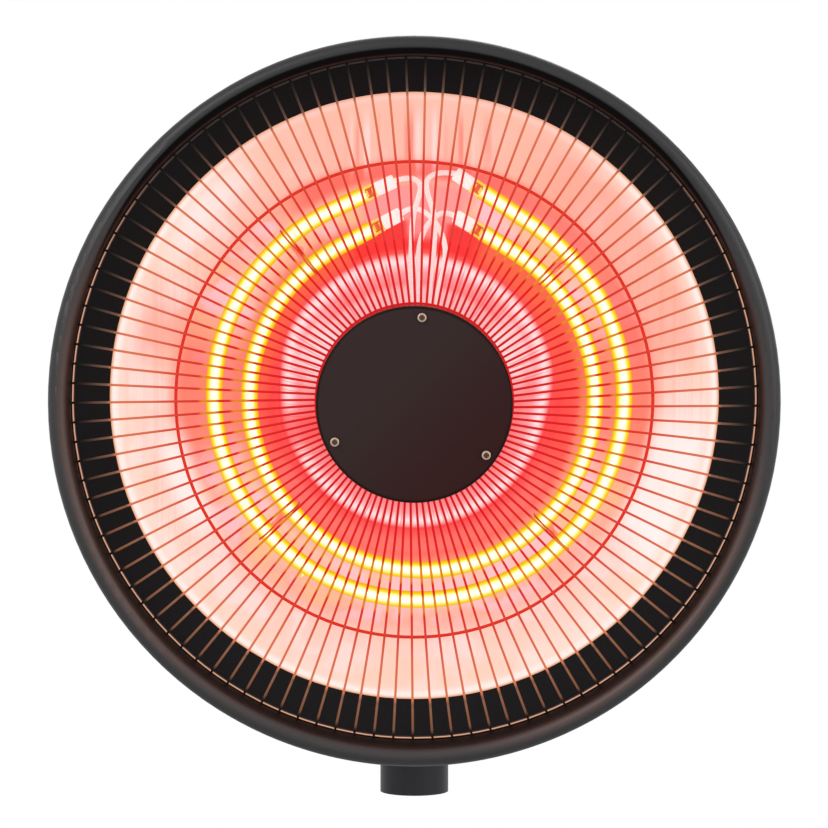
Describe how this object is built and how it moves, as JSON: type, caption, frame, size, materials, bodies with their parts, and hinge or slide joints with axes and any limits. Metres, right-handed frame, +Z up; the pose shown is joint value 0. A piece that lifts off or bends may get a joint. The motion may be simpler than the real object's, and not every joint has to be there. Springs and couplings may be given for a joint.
{
  "type": "infrared patio heater head",
  "caption": "Round infrared patio heater head with ring-shaped quartz lamps behind a wire guard, tilting on the stub of its pole.",
  "frame": {"origin": "centre of the pole socket's mouth, where the pole below ends", "axes": "+Z up the pole, -Y the way the heater faces, +X to the right of a viewer in front"},
  "size_m": [0.45, 0.2722, 0.5],
  "materials": {
    "black_coat": "satin powder coat",
    "guard_coat": "satin, lit by the lamps",
    "pole_coat": "satin powder coat",
    "spun_aluminium": "bright, spun",
    "quartz": "polished",
    "hot_filament": "white hot",
    "white_ceramic": "matt",
    "glass_sleeve": "braided",
    "zinc_steel": "zinc plated",
    "bare_steel": "heat tinted",
    "brass": "turned",
    "housing_plastic": "fine grain",
    "switch_plastic": "gloss",
    "rocker_plastic": "gloss",
    "soft_rubber": "matt",
    "fibre": "pressed fibre"
  },
  "bodies": {
    "pole": {"pole_tube": "pole_coat", "pole_lock_boss": "pole_coat", "pole_lock_screw": "zinc_steel", "pole_knuckle": "black_coat", "knuckle_screws": "zinc_steel", "pivot_bolt": "zinc_steel", "pivot_washers": "zinc_steel", "friction_washers": "fibre"},
    "head": {"shroud": "black_coat", "baffle_ring": "black_coat", "centre_cover": "black_coat", "tilt_bracket": "black_coat", "guard_hub_plate": "black_coat", "guard_wires": "guard_coat", "guard_outer_ring": "guard_coat", "guard_middle_ring": "guard_coat", "guard_inner_ring": "guard_coat", "reflector": "spun_aluminium", "outer_tube": "quartz", "inner_tube": "quartz", "outer_filament": "hot_filament", "inner_filament": "hot_filament", "tube_ceramics": "white_ceramic", "lead_eyelets": "white_ceramic", "terminal_block": "white_ceramic", "lead_outer_left": "glass_sleeve", "lead_outer_right": "glass_sleeve", "lead_inner_left": "glass_sleeve", "lead_inner_right": "glass_sleeve", "cover_screws": "zinc_steel", "cover_nuts": "zinc_steel", "hub_standoffs": "zinc_steel", "hub_screws": "zinc_steel", "reflector_posts": "zinc_steel", "shield_spacers": "zinc_steel", "post_screws": "zinc_steel", "housing_screws": "zinc_steel", "bracket_bolts": "zinc_steel", "bracket_nuts": "zinc_steel", "terminal_screws": "zinc_steel", "bracket_rivets": "zinc_steel", "tube_clips": "bare_steel", "tube_brackets": "bare_steel", "heat_shield": "bare_steel", "thermal_cutout": "bare_steel", "rear_housing": "housing_plastic", "tip_over_switch": "housing_plastic", "gland_body": "housing_plastic", "gland_cap": "housing_plastic", "gland_locknut": "housing_plastic", "switch_frame_left": "switch_plastic", "switch_frame_right": "switch_plastic", "lead_grommet": "soft_rubber", "gland_seal": "soft_rubber"},
    "knob": {"knob_body": "housing_plastic", "knob_insert": "brass"},
    "rocker_left": {"rocker_left": "rocker_plastic"},
    "rocker_right": {"rocker_right": "rocker_plastic"}
  },
  "joints": [
    {"name": "head_tilt", "type": "hinge", "parent": "pole", "child": "head", "pos_m": [0, -0.05, 0.275], "axis": [1, 0, 0], "range_deg": [0, 30]},
    {"name": "knob_turn", "type": "hinge", "parent": "pole", "child": "knob", "pos_m": [0.03, -0.05, 0.275], "axis": [1, 0, 0], "range_deg": [0, 180]},
    {"name": "rocker_left_tip", "type": "hinge", "parent": "head", "child": "rocker_left", "pos_m": [-0.014, -0.0795, 0.322], "axis": [-1, 0, 0], "range_deg": [0, 20]},
    {"name": "rocker_right_tip", "type": "hinge", "parent": "head", "child": "rocker_right", "pos_m": [0.014, -0.0795, 0.322], "axis": [-1, 0, 0], "range_deg": [0, 20]}
  ]
}
